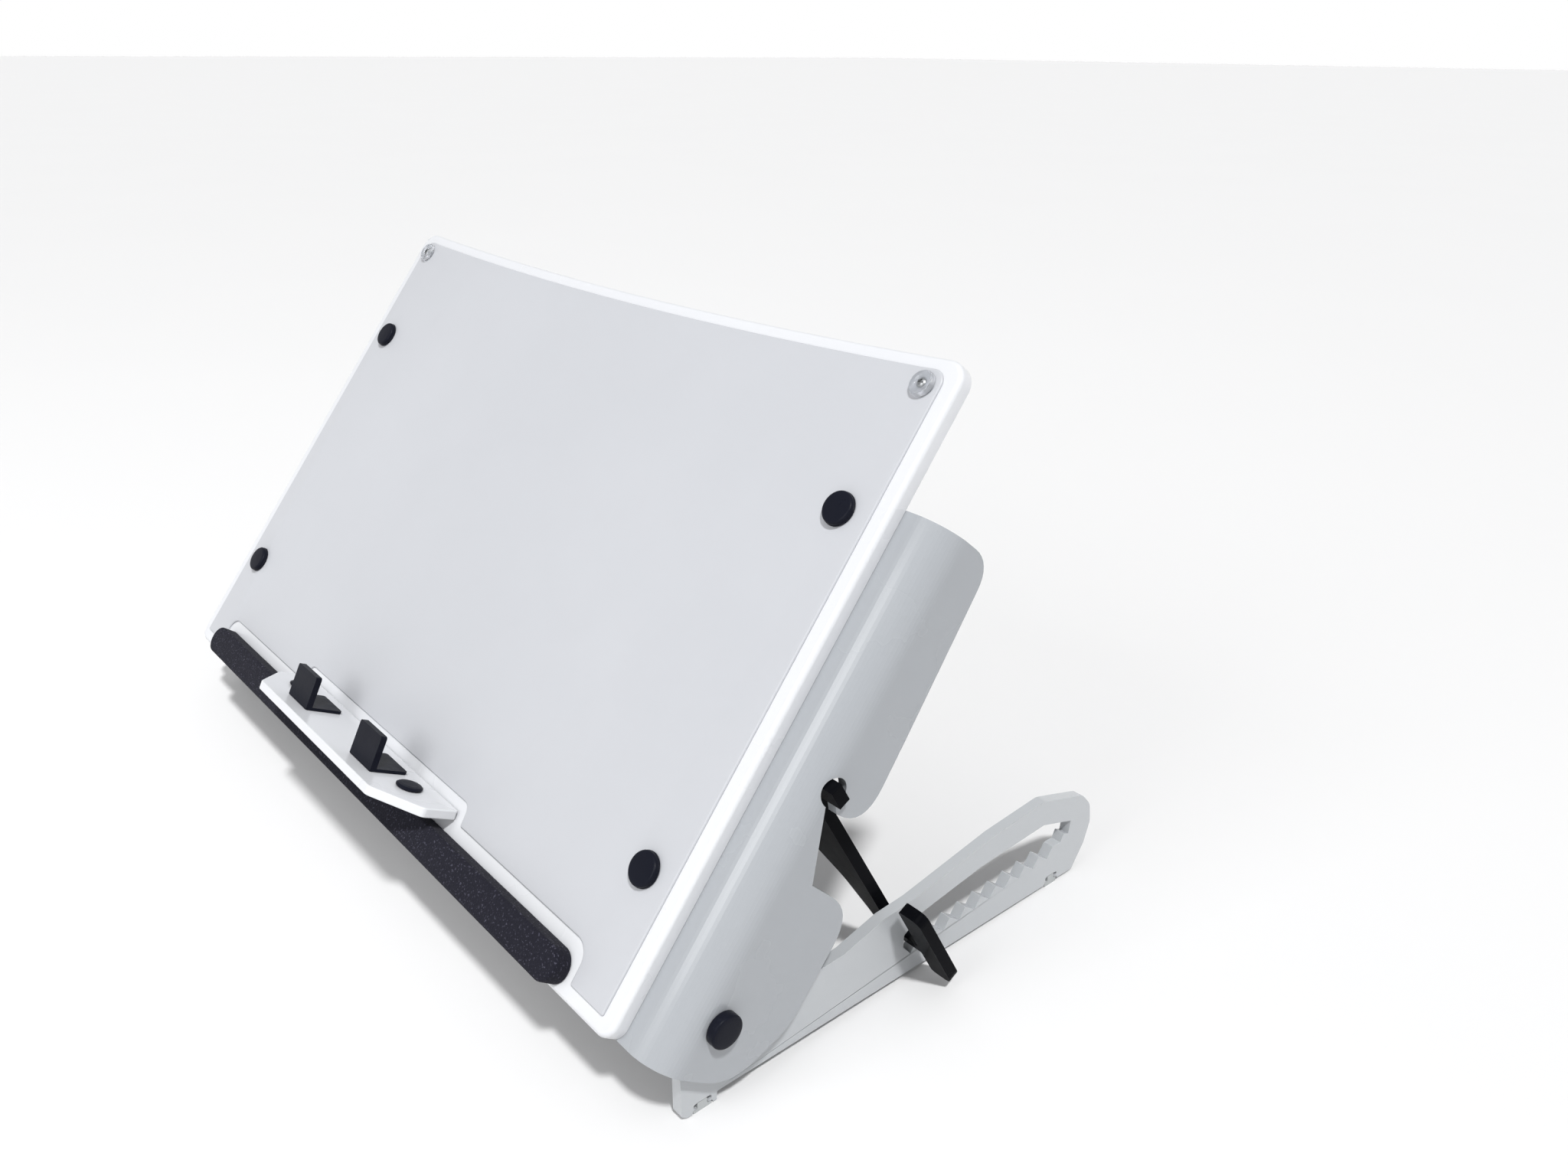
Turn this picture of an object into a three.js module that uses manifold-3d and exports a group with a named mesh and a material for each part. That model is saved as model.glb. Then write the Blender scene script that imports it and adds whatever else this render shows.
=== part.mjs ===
// Portable drawing board: a writing slope on two hinged base arms, held up by a notched prop.
// Millimetres, +X to the user's right, +Y away from the user, +Z up, resting on z = 0.
import * as THREE from "three";
import { mergeVertices } from "three/addons/utils/BufferGeometryUtils.js";
import Module from "manifold-3d";

const wasm = await Module();
wasm.setup();

// ---- driving dimensions ----
const CENTRE_Y = -146.2; // shifts the row so that its origin is under the middle of its bounds
const TILT = THREE.MathUtils.degToRad(51.7); // slope of the board in its steepest notch
const HEM_Z = 46.8; // height of the board's front lower edge line
const GAP = 0.3; // running gap between touching pieces

const BOARD_HALF_W = 252.5;
const BOARD_H = 325;
const BOARD_BOW = 7; // how far the top edge dips at its middle
const BOARD_T = 8;
const FACE_HALF_W = 244.2;
const FACE_T = 0.8;

const DISC_X = 226.9;
const DISC_U = [244.3, 67.6];
const DISC_R = 8.4;
const BUMPER = { x: 235.1, u: 309.2, r: 6.4, h: 2.6 };

const FOAM = { halfW: 215, u0: 2, u1: 19, t: 10 };
const LEDGE = { halfW: 95, depth: 40.5, t: 5, u: 31.6, droop: 10.5, side: 20.5, frontHalfW: 72 };
const RETAINER = { x: 41.5, w: 24.5, h: 19, t: 3.4, front: 31.5, toe: 18 };
const LEDGE_STUD = { x: 70, out: 17, r: 7, h: 2 };

const SHEET = 5; // side brackets
const CHEEK_X = 276; // outer face of the side brackets
const BEND_R = 18;
const FLANGE_X = 206;
const BRACKET_TOP = 256;
const NOTCH = { u: 135.5, n: -26.2, r: 7 };
const PIVOT = { u: 26.8, n: -32.5 };

const ARM_T = 6;
const ARM_X = 269.5; // outer face of the arms
const ARM_BOSS_R = 11;
const AXLE_R = 4;
const TEETH = 10;
const TOOTH_PITCH = 11.9;
const TOOTH = { y: 166.5, z: 13.6, rise: 0.66, run: 4.4, height: 6.1 }; // first valley, climb, tip
const FOOT_H = 5;
const FOOT_FRONT = [33.5, 39.5, 0.4]; // from, to, height of the arm's lower edge
const FOOT_REAR = [276.5, 282.5, 1.6];

const PROP = { t: 6, half: 258, bar: 11.5, barEnd: 280, neck0: 125.5, neck1: 132, earX0: 277.4, earX1: 291,
  ear0: 92, ear1: 150 };
const PROP_DIR = Math.atan2(-0.876, 0.482); // direction of the legs in the side view

const MATERIALS = {
  white: { color: 0xf1f2f4, roughness: 0.25 },
  face: { color: 0xdfe1e6, roughness: 0.35 },
  black: { color: 0x17181b, roughness: 0.3 },
  foam: { color: 0x26262e, roughness: 0.95 },
  rubber: { color: 0x7c8082, roughness: 0.8 },
  clear: { color: 0xc9ccd2, roughness: 0.15 },
  steel: { color: 0xa9adb2, roughness: 0.3, metalness: 0.9 },
};

// ---- frames ----
const part = new THREE.Group();
const base = new THREE.Group(); // side view x = away from the user, y = up
base.position.y = CENTRE_Y;
const board = new THREE.Group(); // x = right, y = up the slope, z = out of the face
board.position.set(0, CENTRE_Y, HEM_Z);
board.rotation.x = TILT;
const propFrame = new THREE.Group(); // x = right, y = from the legs to the bar, z = out of the front face
const ledgeFrame = new THREE.Group(); // x = right, y = towards the board, z = up off the ledge
ledgeFrame.position.y = LEDGE.u;
ledgeFrame.rotation.x = THREE.MathUtils.degToRad(LEDGE.droop - 90);
part.add(base, board, propFrame);
board.add(ledgeFrame);

const [X, Y, Z] = [new THREE.Vector3(1, 0, 0), new THREE.Vector3(0, 1, 0), new THREE.Vector3(0, 0, 1)];
const sideToWorld = new THREE.Matrix4().makeBasis(Y, Z, X);
const frontToUp = new THREE.Matrix4().makeBasis(X, Z, Y.clone().negate());

// A point of the slope (up the slope, out of the face) in the side view.
function onSlope(u, n) {
  const c = Math.cos(TILT), s = Math.sin(TILT);
  return [u * c - n * s, HEM_Z + u * s + n * c];
}

// ---- helpers ----
function add(parent, name, geometry, finish) {
  const mesh = new THREE.Mesh(geometry, new THREE.MeshStandardMaterial(MATERIALS[finish]));
  mesh.name = name;
  parent.add(mesh);
}

function solid(geometry) {
  const bare = geometry.clone();
  bare.deleteAttribute("normal");
  bare.deleteAttribute("uv");
  const merged = mergeVertices(bare, 1e-4);
  return new wasm.Manifold(new wasm.Mesh({
    numProp: 3,
    vertProperties: new Float32Array(merged.attributes.position.array),
    triVerts: new Uint32Array(merged.index.array),
  }));
}

function geometryOf(manifold) {
  const mesh = manifold.getMesh();
  const geometry = new THREE.BufferGeometry();
  geometry.setAttribute("position", new THREE.BufferAttribute(mesh.vertProperties, 3));
  geometry.setIndex(new THREE.BufferAttribute(mesh.triVerts, 1));
  return geometry;
}

function extrude(shape, depth, z = 0, curveSegments = 6) {
  return new THREE.ExtrudeGeometry(shape, { depth, bevelEnabled: false, curveSegments })
    .translate(0, 0, z);
}

// Extrudes a shape drawn in the side view between two x positions.
function extrudeAcross(shape, x0, x1, curveSegments = 6) {
  return extrude(shape, x1 - x0, x0, curveSegments).applyMatrix4(sideToWorld);
}

// A closed outline through corner points [x, y, radius], each corner rounded by its radius.
function outline(corners, Kind = THREE.Shape) {
  const path = new Kind();
  const n = corners.length;
  corners.forEach(([x, y, r = 0], i) => {
    const here = new THREE.Vector2(x, y);
    const toPrev = new THREE.Vector2(...corners[(i + n - 1) % n].slice(0, 2)).sub(here);
    const toNext = new THREE.Vector2(...corners[(i + 1) % n].slice(0, 2)).sub(here);
    const room = (leg, next) => leg.length() * (corners[next][2] ? 0.49 : 0.96);
    const reach = Math.min(r / Math.tan(toPrev.angleTo(toNext) / 2), room(toPrev, (i + n - 1) % n),
      room(toNext, (i + 1) % n));
    const a = here.clone().addScaledVector(toPrev.normalize(), r ? reach : 0);
    const b = here.clone().addScaledVector(toNext.normalize(), r ? reach : 0);
    if (i === 0) path.moveTo(a.x, a.y);
    else path.lineTo(a.x, a.y);
    if (r) path.quadraticCurveTo(x, y, b.x, b.y);
  });
  path.closePath();
  return path;
}

function circle(x, y, r) {
  const path = new THREE.Path();
  path.absarc(x, y, r, 0, Math.PI * 2, true);
  return path;
}

function roundedBox(x0, y0, x1, y1, r) {
  return outline([[x0, y0, r], [x1, y0, r], [x1, y1, r], [x0, y1, r]]);
}

// A turned piece standing on z = 0 of its parent, drawn as [radius, height] from the axis round to the axis.
function turned(profile, segments = 28) {
  return new THREE.LatheGeometry(profile.map(([r, h]) => new THREE.Vector2(r, h)), segments)
    .rotateX(Math.PI / 2);
}

// Points of the bowed top edge, from right to left.
function bowedEdge(halfW, height, bow, count = 14) {
  return Array.from({ length: count + 1 }, (_, i) => {
    const x = halfW * (1 - (2 * i) / count);
    return [x, height - bow * (1 - (x / BOARD_HALF_W) ** 2)];
  });
}

// ---- board ----
function boardPanel() {
  const top = bowedEdge(BOARD_HALF_W - 22, BOARD_H, BOARD_BOW);
  const shape = outline([
    [-BOARD_HALF_W, 0, 8], [BOARD_HALF_W, 0, 8], [BOARD_HALF_W, BOARD_H, 21],
    ...top, [-BOARD_HALF_W, BOARD_H, 21],
  ]);
  return new THREE.ExtrudeGeometry(shape, {
    depth: BOARD_T - 3.6, bevelThickness: 1.8, bevelSize: 1.8, bevelOffset: -1.8, bevelSegments: 3,
    curveSegments: 6,
  }).translate(0, 0, 1.8 - BOARD_T);
}

function faceSheet() {
  const w = FACE_HALF_W;
  const top = bowedEdge(w - 16, BOARD_H - 6.6, BOARD_BOW);
  const shape = outline([
    [-w, 7.8, 1], [-219, 7.8, 1], [-218.6, 25.8, 11], [-101, 25.8, 1], [-99, 37, 5],
    [99, 37, 5], [101, 25.8, 1], [218.6, 25.8, 11], [219, 7.8, 1], [w, 7.8, 1],
    [w, BOARD_H - 6.6, 12], ...top, [-w, BOARD_H - 6.6, 12],
  ]);
  return extrude(shape, FACE_T, GAP);
}

function cap(r, height) {
  return turned([[0, 0], [r - 0.4, 0], [r, 0.5], [r, height * 0.55], [r - 0.9, height * 0.86],
    [r * 0.6, height * 0.97], [0, height]]);
}

function bumper() {
  const { r, h } = BUMPER;
  return turned([[2.2, 0], [r, 0], [r, h * 0.5], [r - 1.2, h], [3.6, h], [2.2, h * 0.45], [2.2, 0]], 24);
}

function bumperScrew() {
  return turned([[0, 0], [1.8, 0], [1.8, 1.3], [2.4, 1.6], [2, 2.2], [0, 2.4]], 16);
}

function foamRest() {
  const { halfW, u0, u1, t } = FOAM;
  const r = (u1 - u0) / 2, edge = 1.2;
  const shape = new THREE.Shape();
  shape.absarc(halfW - r, u0 + r, r - edge, -Math.PI / 2, Math.PI / 2, false);
  shape.absarc(r - halfW, u0 + r, r - edge, Math.PI / 2, Math.PI * 1.5, false);
  return new THREE.ExtrudeGeometry(shape, {
    depth: t - 2 * edge, bevelThickness: edge, bevelSize: edge, bevelSegments: 3, curveSegments: 10,
  }).translate(0, 0, GAP + edge);
}

function ledgePlate() {
  const { halfW, depth, side, frontHalfW, t } = LEDGE;
  const shape = outline([
    [-halfW, -1.2, 2], [-halfW, -side, 5], [-frontHalfW, -depth, 5], [frontHalfW, -depth, 5],
    [halfW, -side, 5], [halfW, -1.2, 2],
  ]);
  return new THREE.ExtrudeGeometry(shape, {
    depth: t - 1.2, bevelThickness: 0.6, bevelSize: 0.6, bevelOffset: -0.6, bevelSegments: 2,
    curveSegments: 4,
  }).translate(0, 0, 0.6 - t);
}

// An upright plate with a thin toe that reaches under the pages, towards the board.
function retainer() {
  const { w, h, t, front, toe } = RETAINER;
  const plate = solid(extrude(outline([[-w / 2, 0, 0.5], [w / 2, 0, 0.5], [w / 2, h, 1.5],
    [-w / 2, h, 1.5]]), t).applyMatrix4(frontToUp));
  const tongue = solid(extrude(roundedBox(-w / 2, -t, w / 2, toe, 1.5), 1.6));
  return geometryOf(plate.add(tongue)).translate(0, t - front, GAP);
}

// ---- side brackets ----
function bracket(sign) {
  const x0 = CHEEK_X - BEND_R;
  const n0 = -BOARD_T - GAP;
  const deep = n0 - 76;
  const section = new THREE.Shape();
  section.moveTo(FLANGE_X, n0 - SHEET);
  section.lineTo(x0, n0 - SHEET);
  section.absarc(x0, n0 - BEND_R, BEND_R - SHEET, Math.PI / 2, 0, true);
  section.lineTo(CHEEK_X - SHEET, deep);
  section.lineTo(CHEEK_X, deep);
  section.absarc(x0, n0 - BEND_R, BEND_R, 0, Math.PI / 2, false);
  section.lineTo(FLANGE_X, n0);
  section.closePath();
  const bent = solid(extrude(section, BRACKET_TOP + 20, -BRACKET_TOP - 10, 8)
    .applyMatrix4(frontToUp));
  const side = outline([
    [1.2, -2], [1.2, -58, 30], [32, -77.5, 30], [91, -79, 21], [95.3, -43.1],
    [128.8, -25.2], [135, -26.2], [127.6, -34.4], [126, -56, 22], [170, -53.6, 10],
    [226, -50, 14], [BRACKET_TOP, -48, 26], [BRACKET_TOP, -2],
  ]);
  const cut = solid(extrudeAcross(side, FLANGE_X - 2, CHEEK_X + 2, 8));
  const holes = [[NOTCH.u, NOTCH.n, NOTCH.r], [PIVOT.u, PIVOT.n, AXLE_R + 0.3]].map(([u, n, r]) =>
    solid(new THREE.CylinderGeometry(r, r, 30, 32).rotateZ(Math.PI / 2).translate(CHEEK_X, u, n)));
  let made = bent.intersect(cut);
  for (const hole of holes) made = made.subtract(hole);
  return geometryOf(sign < 0 ? made.mirror([1, 0, 0]) : made);
}

// ---- base arms ----
function toothLine() {
  const points = [];
  for (let k = 0; k < TEETH; k++) {
    const y = TOOTH.y + TOOTH_PITCH * k, z = TOOTH.z + TOOTH.rise * k;
    points.push([y, z], [y + TOOTH.run, z + TOOTH.height, 0.4]);
  }
  return points;
}

function slot() {
  return outline([
    [160.9, 20.5, 1], ...toothLine(), [284.8, 25.4], [287, 30.2, 0.4], [291.2, 28.2],
    [292.3, 36.2, 0.8], [284.5, 38.8, 2], [267.5, 44.2, 4], [217.5, 41.7, 20], [173.3, 35.4, 8],
    [160.9, 27.6, 1.5],
  ], THREE.Path);
}

// Recess for a rubber foot: a wide mouth for the pad's lips and a round relief at each side.
function footRecess(y0, y1, z) {
  const front = [[y0 - 2.8, z], [y0 - 2.2, z + 1.5], [y0 - 0.3, z + 1.7], [y0 - 1.9, z + 2.6, 1],
    [y0 - 1.9, z + FOOT_H - 0.3, 1.2], [y0 + 0.3, z + FOOT_H, 0.5]];
  return [...front, ...front.slice().reverse().map(([y, ...rest]) => [y0 + y1 - y, ...rest])];
}

function arm(x0) {
  const [py, pz] = onSlope(PIVOT.u, PIVOT.n);
  const boss = [50, 75, 100, 125, 150, 175, 200].map((deg) => {
    const angle = THREE.MathUtils.degToRad(deg);
    return [py + ARM_BOSS_R * Math.cos(angle), pz + ARM_BOSS_R * Math.sin(angle)];
  });
  const shape = outline([
    [25, 3, 1.5], [28, 0.4, 1.5],
    ...footRecess(...FOOT_FRONT),
    [44.2, 0.4, 0.5], [44.6, 5, 0.5], [50, 4.9, 1],
    ...footRecess(...FOOT_REAR),
    [298, 1.2, 2], [307.2, 15, 8], [311.2, 28, 8], [309, 40, 10], [301, 49, 8],
    [266, 59.8, 12], [225, 56.6, 20], [165, 46.3, 8], [146, 45.2, 8], [120, 38.6, 10],
    [86, 38, 20], ...boss, [25, 26, 4],
  ]);
  shape.holes.push(slot(), circle(py, pz, AXLE_R + 0.3));
  return extrudeAcross(shape, x0, x0 + ARM_T);
}

function footPad(x0, y0, y1, z) {
  const shape = outline([
    [y0 - 2, 0, 0.4], [y1 + 2, 0, 0.4], [y1 + 1.9, z + 1.1], [y1 - 0.4, z + 1.4],
    [y1 - 0.4, z + FOOT_H - 0.4, 0.5], [y0 + 0.4, z + FOOT_H - 0.4, 0.5], [y0 + 0.4, z + 1.4],
    [y0 - 1.9, z + 1.1],
  ]);
  return extrudeAcross(shape, x0 + 0.2, x0 + ARM_T - 0.2);
}

function ring(x0, x1, inner, outer) {
  const shape = new THREE.Shape();
  shape.absarc(0, 0, outer, 0, Math.PI * 2, false);
  shape.holes.push(circle(0, 0, inner));
  return extrudeAcross(shape, x0, x1, 14);
}

function pivotCap() {
  return turned([[0, 2.6], [AXLE_R + 0.3, 2.6], [AXLE_R + 0.3, 0], [7.9, 0], [8.2, 0.4], [8.2, 3.6],
    [7.5, 4.5], [5, 4.9], [0, 5]], 32);
}

// ---- prop ----
function propPlate() {
  const { half, bar, barEnd, neck0, neck1, earX0, earX1, ear0, ear1 } = PROP;
  const right = [
    [barEnd, bar / 2, 0.8], [barEnd, -bar / 2, 0.8],
    [half, -bar / 2, 1], [half, -neck0, 1], [earX0, -neck0, 1],
    [earX0, -ear0, 3], [earX1, -ear0, 5], [earX1, -ear1, 6], [earX0, -ear1, 3],
    [earX0, -neck1, 1], [249, -neck1, 3], [246.5, -120, 20], [239.5, -95, 30], [226, -73, 30],
    [196, -54, 60], [120, -44, 60],
  ];
  const left = right.slice().reverse().map(([x, y, r]) => [-x, y, r]);
  return extrude(outline([...right, ...left]), PROP.t, -PROP.t / 2, 5);
}

// ---- assembly ----
add(board, "board_panel", boardPanel(), "white");
add(board, "face_sheet", faceSheet(), "face");
add(board, "foam_rest", foamRest(), "foam");

const faceTop = GAP + FACE_T + GAP;
add(ledgeFrame, "ledge", ledgePlate(), "white");
for (const [side, sign] of [["left", -1], ["right", 1]]) {
  DISC_U.forEach((u, i) => {
    const at = ["upper", "lower"][i] + "_" + side;
    add(board, "disc_" + at, cap(DISC_R, 3.2).translate(sign * DISC_X, u, faceTop), "black");
    add(board, "nut_" + at, cap(5, 3.6).rotateY(Math.PI)
      .translate(sign * DISC_X, u, -BOARD_T - SHEET - 2 * GAP), "steel");
  });
  add(board, "bumper_" + side, bumper().translate(sign * BUMPER.x, BUMPER.u, faceTop), "clear");
  add(board, "bumper_screw_" + side, bumperScrew().translate(sign * BUMPER.x, BUMPER.u, faceTop),
    "steel");
  add(ledgeFrame, "ledge_stud_" + side,
    cap(LEDGE_STUD.r, LEDGE_STUD.h).translate(sign * LEDGE_STUD.x, -LEDGE_STUD.out, GAP), "black");
  add(ledgeFrame, "retainer_" + side, retainer().translate(sign * RETAINER.x, 0, 0), "black");
  add(board, "bracket_" + side, bracket(sign), "white");

  const armX = sign > 0 ? ARM_X - ARM_T : -ARM_X;
  add(base, "arm_" + side, arm(armX), "white");
  add(base, "foot_front_" + side, footPad(armX, ...FOOT_FRONT), "rubber");
  add(base, "foot_rear_" + side, footPad(armX, ...FOOT_REAR), "rubber");
  const [py, pz] = onSlope(PIVOT.u, PIVOT.n);
  const washerX = sign > 0 ? ARM_X + GAP : -ARM_X - GAP - 0.9;
  add(base, "washer_" + side, ring(washerX, washerX + 0.9, AXLE_R + 0.3, 8.2).translate(0, py, pz),
    "steel");
  add(base, "pivot_cap_" + side, pivotCap().rotateY((sign * Math.PI) / 2)
    .translate(sign * (CHEEK_X + GAP), py, pz), "black");
}
const [pivotY, pivotZ] = onSlope(PIVOT.u, PIVOT.n);
add(base, "pivot_axle", new THREE.CylinderGeometry(AXLE_R, AXLE_R, 2 * (CHEEK_X + 2.5), 28)
  .rotateZ(Math.PI / 2).translate(0, pivotY, pivotZ), "steel");

const [notchY, notchZ] = onSlope(NOTCH.u, NOTCH.n);
propFrame.position.set(0, notchY + CENTRE_Y, notchZ);
propFrame.rotation.x = PROP_DIR + Math.PI;
add(propFrame, "prop", propPlate(), "black");

export default part;
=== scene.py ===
"""Portable drawing board: a slope on two base arms with a rack, a prop and a page ledge."""
import math
import bmesh
import bpy
from mathutils import Matrix, Vector


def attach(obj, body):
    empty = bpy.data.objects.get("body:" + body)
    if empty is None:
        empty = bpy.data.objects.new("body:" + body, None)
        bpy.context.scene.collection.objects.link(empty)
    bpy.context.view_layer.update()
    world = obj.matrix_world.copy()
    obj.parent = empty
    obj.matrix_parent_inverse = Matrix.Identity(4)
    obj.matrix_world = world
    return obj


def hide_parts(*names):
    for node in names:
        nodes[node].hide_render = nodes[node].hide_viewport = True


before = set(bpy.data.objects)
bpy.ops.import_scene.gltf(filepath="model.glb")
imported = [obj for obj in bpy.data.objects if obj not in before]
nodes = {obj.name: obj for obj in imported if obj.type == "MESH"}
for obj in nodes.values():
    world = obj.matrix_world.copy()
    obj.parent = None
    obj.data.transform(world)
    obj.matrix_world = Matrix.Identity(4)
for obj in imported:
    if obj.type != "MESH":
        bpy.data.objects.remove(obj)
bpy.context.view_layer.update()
MM = 0.001

# Places on the object, in metres.
TILT = math.radians(51.7)
HEEL = (0, -0.1462, 0.0468)  # middle of the panel's lower front edge
AXLE_Y, AXLE_Z = -0.104085, 0.047689
CAP_X = 0.2763

# Places on the slope, in millimetres: across, up from the heel, out of the panel's front.
PANEL_HALF, PANEL_TOP, PANEL_THICK = 252.5, 325, 8.25
TOP_DIP = 7  # the top edge is this much lower in the middle than at the corners
DIP_STEPS = 28
FASTENER_X, UPPER_U, LOWER_U = 226.9, 244.3, 67.6
BUMPER_X, BUMPER_U = 235.1, 309.2
FRONT_SEAT, NUT_SEAT = 1.4, -13.6


def add(name, data):
    obj = bpy.data.objects.new(name, data)
    bpy.context.collection.objects.link(obj)
    return obj


# ---- camera ----
cam_data = bpy.data.cameras.new("camera")
cam_data.sensor_width = 36
cam_data.lens = 28.25
cam = add("camera", cam_data)
cam.location = (0.59174, -0.34832, 0.42476)
cam.rotation_euler = [math.radians(a) for a in (66.225, -0.495, 48.935)]
bpy.context.scene.camera = cam


# ---- materials ----
class Mat:
    """A procedural material on one Principled BSDF."""

    def __init__(self, name, rough, **fixed):
        self.mat = bpy.data.materials.new(name)
        self.mat.use_nodes = True
        self.tree = self.mat.node_tree
        self.bsdf = self.tree.nodes["Principled BSDF"]
        self.bsdf.inputs["Roughness"].default_value = rough
        for key, value in fixed.items():
            self.bsdf.inputs[key.replace("_", " ")].default_value = value
        self.coord = self.node("ShaderNodeTexCoord").outputs["Object"]

    def node(self, kind, **inputs):
        made = self.tree.nodes.new(kind)
        for key, value in inputs.items():
            key = key.replace("_", " ")
            if hasattr(value, "is_output"):
                self.tree.links.new(value, made.inputs[key])
            else:
                made.inputs[key].default_value = value
        return made

    def noise(self, scale, detail=3, rough=0.5, coord=None):
        made = self.node("ShaderNodeTexNoise", Vector=coord or self.coord, Scale=scale,
                         Detail=detail, Roughness=rough)
        return made.outputs["Fac"]

    def ramp(self, fac, a, b, low=0.0, high=1.0):
        """fac between low and high, mapped to a value from a to b."""
        made = self.node("ShaderNodeMapRange", Value=fac, From_Min=low, From_Max=high,
                         To_Min=a, To_Max=b)
        return made.outputs["Result"]

    def mix(self, fac, a, b):
        made = self.tree.nodes.new("ShaderNodeMix")
        made.data_type = "RGBA"
        for socket, value in (("Factor_Float", fac), ("A_Color", a), ("B_Color", b)):
            target = next(s for s in made.inputs if s.identifier == socket)
            if hasattr(value, "is_output"):
                self.tree.links.new(value, target)
            else:
                target.default_value = (*value, 1) if isinstance(value, tuple) else value
        return next(s for s in made.outputs if s.identifier == "Result_Color")

    def set(self, socket, value):
        self.tree.links.new(value, self.bsdf.inputs[socket])

    def bump(self, height, strength, distance):
        made = self.node("ShaderNodeBump", Height=height, Strength=strength, Distance=distance)
        self.set("Normal", made.outputs["Normal"])


def gloss_white(name, colour, warm, rough):
    m = Mat(name, rough, Coat_Weight=0.3, Coat_Roughness=0.14, IOR=1.47)
    patch = m.noise(7, 4)
    m.set("Base Color", m.mix(m.ramp(patch, 0, 1, 0.35, 0.7), colour, warm))
    m.set("Roughness", m.ramp(m.noise(18, 4), rough - 0.02, rough + 0.03, 0.3, 0.7))
    m.bump(m.noise(1600, 2), 0.03, 0.0002)
    return m.mat


def face_white():
    m = Mat("face_satin", 0.36, Specular_IOR_Level=0.4)
    fleck = m.noise(6, 5, 0.55)
    m.set("Base Color", m.mix(m.ramp(fleck, 0, 1, 0.4, 0.65),
                              (0.425, 0.435, 0.46), (0.435, 0.445, 0.47)))
    m.set("Roughness", m.ramp(m.noise(25, 5, 0.6), 0.32, 0.42, 0.3, 0.7))
    m.bump(m.noise(2200, 2), 0.06, 0.00015)
    return m.mat


def black_plastic(name, rough, colour, grain=0.04, level=0.06):
    m = Mat(name, rough, Specular_IOR_Level=level, Coat_Weight=0.02, Coat_Roughness=0.08)
    m.set("Base Color", m.mix(m.noise(40, 4), colour, tuple(1.5 * c for c in colour)))
    m.set("Roughness", m.ramp(m.noise(90, 5, 0.7), rough - 0.05, rough + 0.1, 0.3, 0.7))
    m.bump(m.noise(1100, 2), grain, 0.0003)
    return m.mat


def foam_black():
    m = Mat("foam_grain", 0.92, Specular_IOR_Level=0.08, Sheen_Weight=0.03, Sheen_Roughness=0.5)
    cells = m.node("ShaderNodeTexVoronoi", Vector=m.coord, Scale=850.0).outputs["Distance"]
    grain = m.noise(1300, 4, 0.75)
    speck = m.ramp(m.noise(900, 2, 0.5), 0, 1, 0.60, 0.70)
    dark = m.mix(grain, (0.006, 0.006, 0.0095), (0.017, 0.017, 0.026))
    m.set("Base Color", m.mix(speck, dark, (0.055, 0.054, 0.075)))
    height = m.node("ShaderNodeMath", Value=cells)
    m.tree.links.new(grain, height.inputs[1])
    m.bump(height.outputs["Value"], 0.45, 0.0005)
    return m.mat


def rubber_grey():
    m = Mat("rubber_grey", 0.7)
    m.set("Base Color", m.mix(m.noise(80, 4), (0.33, 0.345, 0.35), (0.41, 0.425, 0.43)))
    m.bump(m.noise(1400, 3), 0.25, 0.0003)
    return m.mat


def clear_bumper():
    m = Mat("bumper_clear", 0.1, IOR=1.4, Transmission_Weight=0.85)
    m.set("Base Color", m.mix(m.noise(120, 2), (0.80, 0.82, 0.86), (0.90, 0.92, 0.95)))
    m.bump(m.noise(600, 2), 0.04, 0.0002)
    return m.mat


def steel():
    m = Mat("steel_brushed", 0.34, Metallic=1.0)
    stretched = m.node("ShaderNodeMapping", Vector=m.coord, Scale=(3, 400, 400)).outputs["Vector"]
    m.set("Base Color", m.mix(m.noise(5, 3), (0.30, 0.31, 0.32), (0.42, 0.43, 0.44)))
    m.set("Roughness", m.ramp(m.noise(6, 4, coord=stretched), 0.28, 0.48, 0.3, 0.7))
    return m.mat


WHITE = gloss_white("gloss_white", (0.58, 0.59, 0.615), (0.595, 0.605, 0.625), 0.28)
# Painted shade: the brackets get a darker copy of the white gloss, standing for their sides facing
# away from the key light; the real brackets are the same white as the panel.
BRACKET_PAINTED_SHADE = gloss_white("gloss_white_bracket_painted_shade", (0.30, 0.315, 0.335), (0.31, 0.325, 0.345), 0.26)
# Painted shade: the arms get a greyer copy of the white gloss, standing for the shade on their
# outer faces; the real arms are the same white as the panel.
ARM_PAINTED_SHADE = gloss_white("gloss_white_arm_painted_shade", (0.40, 0.417, 0.435), (0.415, 0.43, 0.447), 0.24)
FACE = face_white()
BLACK = black_plastic("black_gloss", 0.16, (0.0025, 0.0027, 0.0036), level=0.012)
SATIN = black_plastic("black_satin", 0.32, (0.0055, 0.0062, 0.0105), 0.12)
FOAM = foam_black()
RUBBER = rubber_grey()
CLEAR = clear_bumper()
STEEL = steel()

FINISH = {"board_panel": WHITE, "face_sheet": FACE, "ledge": WHITE, "prop": BLACK,
          "foam_rest": FOAM}
BY_START = [("bracket", BRACKET_PAINTED_SHADE), ("arm", ARM_PAINTED_SHADE), ("retainer", SATIN), ("disc", SATIN),
            ("ledge_stud", SATIN), ("pivot_cap", SATIN), ("bumper_screw", STEEL),
            ("bumper", CLEAR), ("nut", STEEL), ("washer", STEEL), ("pivot_axle", STEEL),
            ("foot", RUBBER)]


def finish_of(name):
    return FINISH.get(name) or next(mat for start, mat in BY_START if name.startswith(start))


def paint(obj, mat):
    obj.data.materials.clear()
    obj.data.materials.append(mat)


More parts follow.
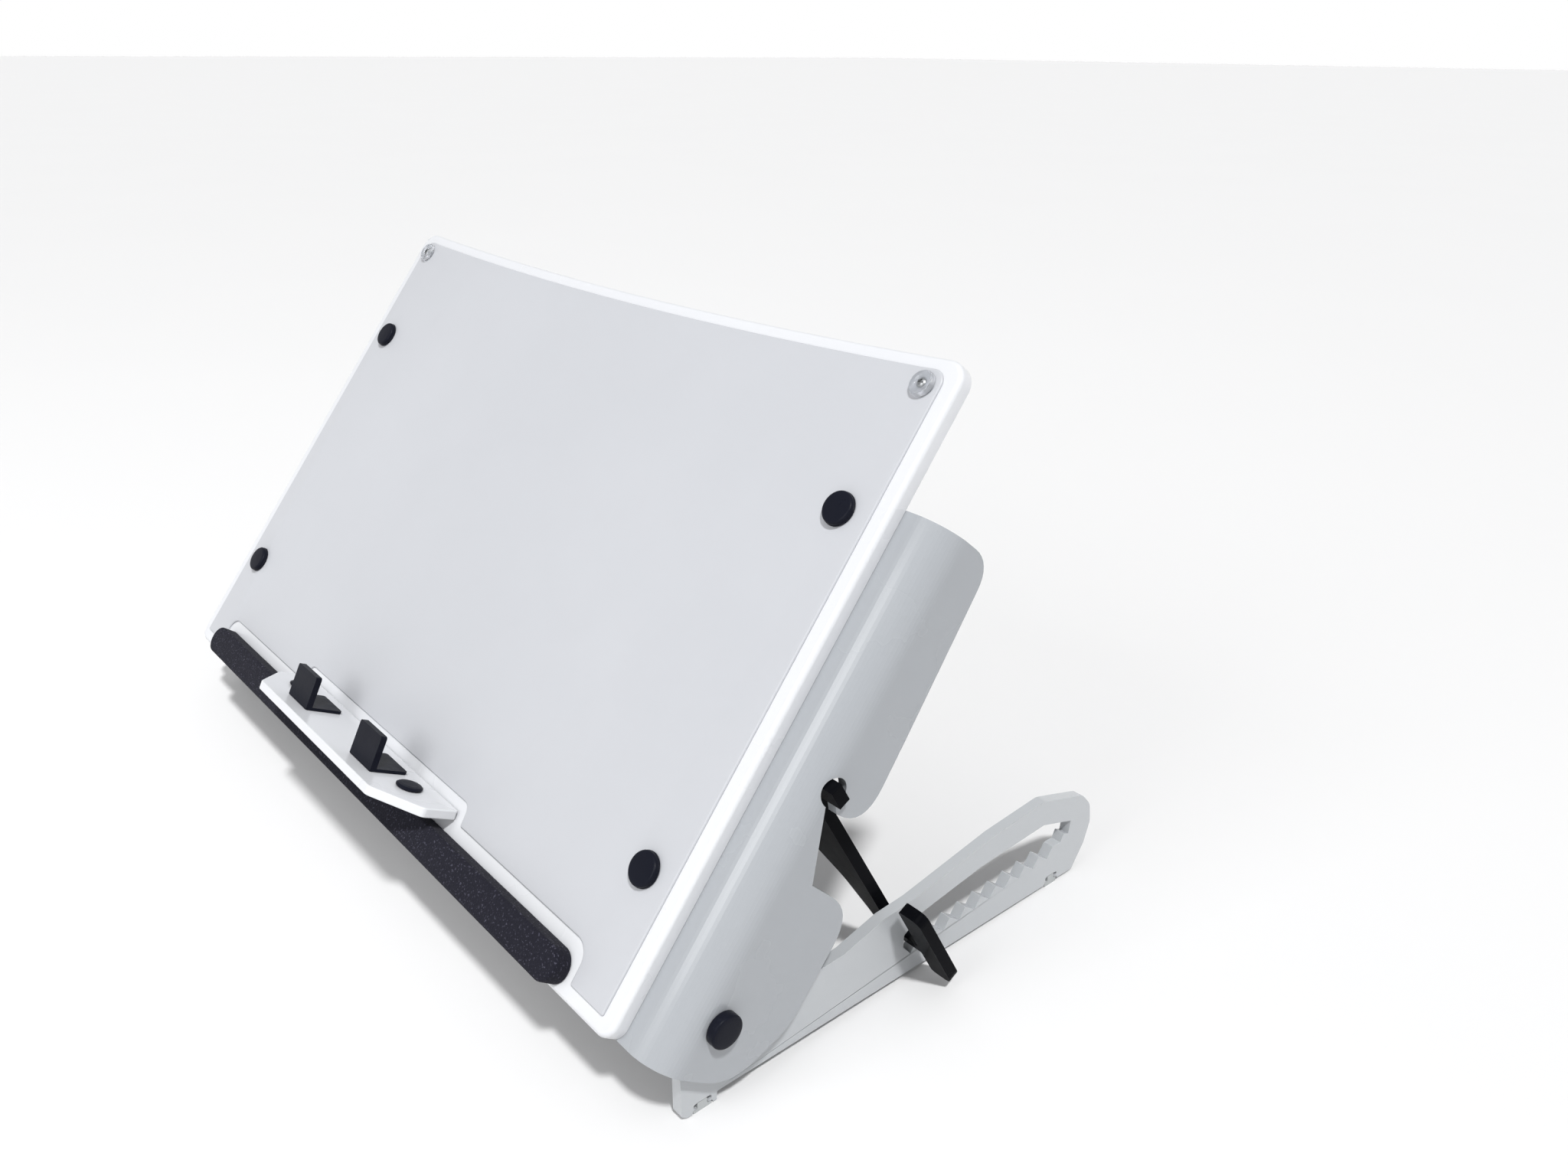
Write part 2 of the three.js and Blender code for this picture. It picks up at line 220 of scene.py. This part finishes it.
def soften(obj, width):
    """Joins flat faces, rounds the edges by width and keeps the shading flat on the faces."""
    flat = obj.modifiers.new("flat", "DECIMATE")
    flat.decimate_type = "DISSOLVE"
    flat.angle_limit = math.radians(0.6)
    edge = obj.modifiers.new("edge", "BEVEL")
    edge.width = width * MM
    edge.segments = 3
    edge.limit_method = "ANGLE"
    edge.angle_limit = math.radians(32)
    edge.miter_outer = "MITER_ARC"
    normals = obj.modifiers.new("normals", "WEIGHTED_NORMAL")
    normals.keep_sharp = True


EDGE = {"bracket": 0.9, "arm": 0.8, "prop": 0.7, "ledge": 0.4, "retainer": 0.5}
for name, obj in nodes.items():
    paint(obj, finish_of(name))
    for poly in obj.data.polygons:
        poly.use_smooth = True
    width = next((w for start, w in EDGE.items() if name.startswith(start)), 0.0)
    if width:
        soften(obj, width)
    else:
        obj.modifiers.new("sharp", "EDGE_SPLIT").split_angle = math.radians(38)


# ---- pieces ----
SLOPE = Matrix.Translation(HEEL) @ Matrix.Rotation(TILT, 4, "X")


def on_slope(x, u, out, turn=None):
    return SLOPE @ Matrix.Translation(Vector((x, u, out)) * MM) @ (turn or Matrix())


def mesh_from(name, bm, matrix):
    """Ends a bmesh drawn in millimetres and gives its mesh, in metres and set in place."""
    mesh = bpy.data.meshes.new(name)
    bm.to_mesh(mesh)
    bm.free()
    mesh.transform(matrix @ Matrix.Scale(MM, 4))
    return mesh


def piece(name, bm, matrix, mat, body, slot, *stands_for, smooth=50):
    """A finished piece on a body. Edges over smooth degrees stay sharp, or none where it is 0."""
    bmesh.ops.recalc_face_normals(bm, faces=bm.faces)
    mesh = mesh_from(name, bm, matrix)
    obj = add(name, mesh)
    paint(obj, mat)
    mesh.shade_smooth()
    if smooth:
        mesh.set_sharp_from_angle(angle=math.radians(smooth))
    if stands_for:
        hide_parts(*stands_for)
    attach(obj, body)
    return obj


def rounded(corners, step=0.8):
    """Points of a closed outline through corners (x, y, radius), each turned in a true arc."""
    points = []
    n = len(corners)
    for i, (x, y, r) in enumerate(corners):
        here = Vector((x, y))
        a = Vector(corners[i - 1][:2]) - here
        b = Vector(corners[(i + 1) % n][:2]) - here
        half = a.angle(b) / 2
        if r < 0.05 or abs(half - math.pi / 2) < 0.01:
            points.append(here)
            continue
        reach = min(r / math.tan(half), a.length * 0.49, b.length * 0.49)
        r = reach * math.tan(half)
        centre = here + (a.normalized() + b.normalized()).normalized() * (reach / math.cos(half))
        start = here + a.normalized() * reach - centre
        end = here + b.normalized() * reach - centre
        turn = start.angle_signed(end)
        steps = max(2, int(abs(turn) * r / step))
        for k in range(steps + 1):
            points.append(centre + Matrix.Rotation(-turn * k / steps, 2) @ start)
    return points


def inset(points, d):
    """The outline (anticlockwise) moved inwards by d."""
    moved = []
    n = len(points)
    for i, p in enumerate(points):
        a, b = p - points[i - 1], points[(i + 1) % n] - p
        na, nb = Vector((-a.y, a.x)).normalized(), Vector((-b.y, b.x)).normalized()
        mid = (na + nb).normalized()
        moved.append(p + mid * d / max(mid.dot(na), 0.5))
    return moved


def plate(points, z0, z1, low, high, steps=6):
    """A plate between two heights whose lower and upper edges are rounded by low and high."""
    bm = bmesh.new()
    profile = [(low * (1 - math.sin(t)), z0 + low * (1 - math.cos(t)))
               for t in [math.pi / 2 * k / steps for k in range(steps + 1)]] if low else [(0, z0)]
    profile += [(high * (1 - math.cos(t)), z1 - high * (1 - math.sin(t)))
                for t in [math.pi / 2 * k / steps for k in range(steps + 1)]] if high else [(0, z1)]
    rings = [[bm.verts.new((q.x, q.y, z)) for q in inset(points, d)] for d, z in profile]
    n = len(points)
    for lower, upper in zip(rings, rings[1:]):
        for i in range(n):
            bm.faces.new((lower[i], lower[(i + 1) % n], upper[(i + 1) % n], upper[i]))
    bm.faces.new(rings[0][::-1])
    bm.faces.new(rings[-1])
    return bm


def turned(profile, segments=64):
    """A turned form about Z through (radius, height) points that start and end on the axis."""
    bm = bmesh.new()
    rings = []
    for r, z in profile:
        if r < 1e-6:
            rings.append([bm.verts.new((0, 0, z))] * segments)
        else:
            rings.append([bm.verts.new((r * math.cos(2 * math.pi * k / segments),
                                        r * math.sin(2 * math.pi * k / segments), z))
                          for k in range(segments)])
    for a, b in zip(rings, rings[1:]):
        for k in range(segments):
            j = (k + 1) % segments
            corners = list(dict.fromkeys((a[k], a[j], b[j], b[k])))
            if len(corners) > 2:
                bm.faces.new(corners)
    return bm


def arc(cx, cz, r, a0, a1, steps=6):
    return [(cx + r * math.cos(math.radians(a0 + (a1 - a0) * k / steps)),
             cz + r * math.sin(math.radians(a0 + (a1 - a0) * k / steps))) for k in range(steps + 1)]


def dipped(half_w, height):
    """The hollow top edge, from right to left, as corners without a radius."""
    corners = []
    for k in range(DIP_STEPS + 1):
        x = half_w * (1 - 2 * k / DIP_STEPS)
        corners.append((x, height - TOP_DIP * (1 - (x / PANEL_HALF) ** 2), 0))
    return corners


def panel():
    w, top = PANEL_HALF, PANEL_TOP
    corners = [(-w, 0, 8), (w, 0, 8), (w, top, 20), *dipped(229, top), (-w, top, 20)]
    bm = plate(rounded(corners), -PANEL_THICK, 0, 0.25, 2.6, 7)
    piece("panel_shell", bm, SLOPE, WHITE, "board", "white", "board_panel", smooth=0)


def face():
    """The face sheet. Its lower edge steps up over the foam strip and again over the ledge."""
    w, heel, step, top = 244.2, 7.8, 25.8, 318.4
    corners = [(-w, heel, 1), (-219, heel, 1), (-218.6, step, 9), (-101, step, 1), (-99, 37, 5),
               (99, 37, 5), (101, step, 1), (218.6, step, 9), (219, heel, 1), (w, heel, 1),
               (w, top, 12), *dipped(228, top), (-w, top, 12)]
    bm = plate(rounded(corners), 0.03, 1.1, 0, 0.9, 5)
    piece("face_skin", bm, SLOPE, FACE, "board", "face", "face_sheet", smooth=0)


def disc_button():
    """Round cap: a fine flange line, a rounded edge and a shallow crown."""
    r, h = 8.4, 3.2
    crown = [(r * 0.55, h), (r * 0.25, h + 0.06), (0, h + 0.08)]
    return turned([(0, 0), (r - 0.3, 0), (r, 0.25), (r, 0.9), (r - 0.22, 1.05), (r - 0.22, 1.25),
                   *arc(r - 1.5, h - 1.35, 1.28, 5, 86), (r * 0.8, h - 0.04), *crown])


def fastener(name, sign, u):
    """A round cap in front and a dome nut behind."""
    x = sign * FASTENER_X
    piece("button_" + name, disc_button(), on_slope(x, u, FRONT_SEAT), SATIN, "board", "black",
          "disc_" + name)
    nut = turned([(0, 0), (5, 0), (5, 1.9), *arc(3.6, 2.2, 1.4, 0, 70, 5), (2, 3.75), (0, 3.85)],
                 48)
    turn = Matrix.Rotation(math.pi, 4, "X")
    piece("dome_nut_" + name, nut, on_slope(x, u, NUT_SEAT, turn), STEEL, "board", "steel",
          "nut_" + name)


def bumper(side, sign):
    """A clear ring around a cross-head screw."""
    x, recess_out = sign * BUMPER_X, 3.7
    ring = turned([(2.3, 0.05), (6.1, 0), (6.4, 0.3), *arc(4.6, 0.9, 1.75, 0, 80), (4.2, 2.62),
                   (3.4, 2.5), (2.6, 1.9), (2.3, 1.1), (2.3, 0.05)])
    piece("bumper_ring_" + side, ring, on_slope(x, BUMPER_U, FRONT_SEAT), CLEAR, "board",
          "clear", "bumper_" + side, smooth=60)
    head = turned([(0, 0), (1.8, 0), (1.8, 1.3), (2.2, 1.4), (2.25, 1.65), (1.7, 2.15),
                   (0.9, 2.4), (0, 2.45)], 40)
    obj = piece("screw_head_" + side, head, on_slope(x, BUMPER_U, FRONT_SEAT), STEEL, "board",
                "steel", "bumper_screw_" + side)
    cross_recess(obj, on_slope(x, BUMPER_U, recess_out))


def cross_recess(obj, matrix):
    """Cuts a cross-head recess into a screw."""
    arm, half_w, depth = 1.45, 0.42, 1.4
    bm = bmesh.new()
    for x, y in ((arm, half_w), (half_w, arm)):
        bmesh.ops.create_cube(bm, size=1, matrix=Matrix.Diagonal((2 * x, 2 * y, depth, 1)))
    cutter = add("cutter", mesh_from("cutter", bm, matrix))
    cut = obj.modifiers.new("cut", "BOOLEAN")
    cut.object = cutter
    cut.solver = "EXACT"
    cut.use_self = True
    apply_all(obj)
    bpy.data.objects.remove(cutter)


def apply_all(obj):
    graph = bpy.context.evaluated_depsgraph_get()
    made = bpy.data.meshes.new_from_object(obj.evaluated_get(graph))
    obj.modifiers.clear()
    obj.data = made


def foam():
    """A strip with half-round ends."""
    w, low, high, r = 215, 2, 19, 8.5
    points = rounded([(-w, low, r), (w, low, r), (w, high, r), (-w, high, r)], 1.0)
    obj = piece("foam_pad", plate(points, 0.3, 10.1, 0.8, 1.5, 6), SLOPE, FOAM, "board", "foam",
                "foam_rest", smooth=0)


def pivot_cap(side, sign):
    """A cap with a recess behind for the end of the axle."""
    cap = turned([(0, 2.7), (4.3, 2.7), (4.3, 0), (7.9, 0), (8.15, 0.3), (8.15, 3.5),
                  *arc(7.1, 3.8, 1.05, 0, 80), (5.6, 4.95), (3, 5), (0, 5)])
    turn = Matrix.Rotation(sign * math.pi / 2, 4, "Y")
    matrix = Matrix.Translation((sign * CAP_X, AXLE_Y, AXLE_Z)) @ turn
    piece("hinge_cap_" + side, cap, matrix, SATIN, "base", "black", "pivot_cap_" + side)


panel()
face()
foam()
for side, sign in (("left", -1), ("right", 1)):
    fastener("upper_" + side, sign, UPPER_U)
    fastener("lower_" + side, sign, LOWER_U)
    bumper(side, sign)
    pivot_cap(side, sign)


# ---- stage ----
def stage_floor():
    mesh = bpy.data.meshes.new("floor")
    half = 40
    corners = [(-half, -half, 0), (half, -half, 0), (half, half, 0), (-half, half, 0)]
    mesh.from_pydata(corners, [], [(0, 1, 2, 3)])
    floor = add("floor", mesh)
    m = Mat("floor_pale", 0.9, Specular_IOR_Level=0.1)
    m.set("Base Color", m.mix(m.noise(2), (0.655, 0.655, 0.658), (0.665, 0.665, 0.668)))
    paint(floor, m.mat)


def area_light(name, place, target, size, power):
    data = bpy.data.lights.new(name, "AREA")
    data.size = size
    data.energy = power
    lamp = add(name, data)
    lamp.location = place
    lamp.rotation_euler = (Vector(target) - Vector(place)).to_track_quat("-Z", "Y").to_euler()


def sky():
    """Even studio surround, brighter in a band at the horizon so that it meets the floor."""
    world = bpy.data.worlds.new("studio")
    world.use_nodes = True
    tree = world.node_tree
    back = tree.nodes["Background"]
    split = tree.nodes.new("ShaderNodeSeparateXYZ")
    tree.links.new(tree.nodes.new("ShaderNodeTexCoord").outputs["Generated"], split.inputs[0])
    band = tree.nodes.new("ShaderNodeMapRange")
    for key, value in (("From Min", 0.05), ("From Max", 0.32), ("To Min", 1.0), ("To Max", 0.46)):
        band.inputs[key].default_value = value
    tree.links.new(split.outputs["Z"], band.inputs["Value"])
    tree.links.new(band.outputs["Result"], back.inputs["Strength"])
    back.inputs["Color"].default_value = (1, 1, 1, 1)
    bpy.context.scene.world = world


def sun(name, towards, strength, spread):
    data = bpy.data.lights.new(name, "SUN")
    data.energy = strength
    data.angle = math.radians(spread)
    lamp = add(name, data)
    lamp.rotation_euler = Vector(towards).to_track_quat("-Z", "Y").to_euler()


stage_floor()
sky()
sun("key", towards=(-0.45, 0.2, -0.87), strength=3.0, spread=5)
sun("fill", towards=(0.1, 0.28, -0.95), strength=0.25, spread=30)
area_light("strip", place=(0.2, -1.6, 1.2), target=(0.27, 0, 0.12), size=0.9, power=12)
bpy.context.scene.view_settings.view_transform = "Standard"
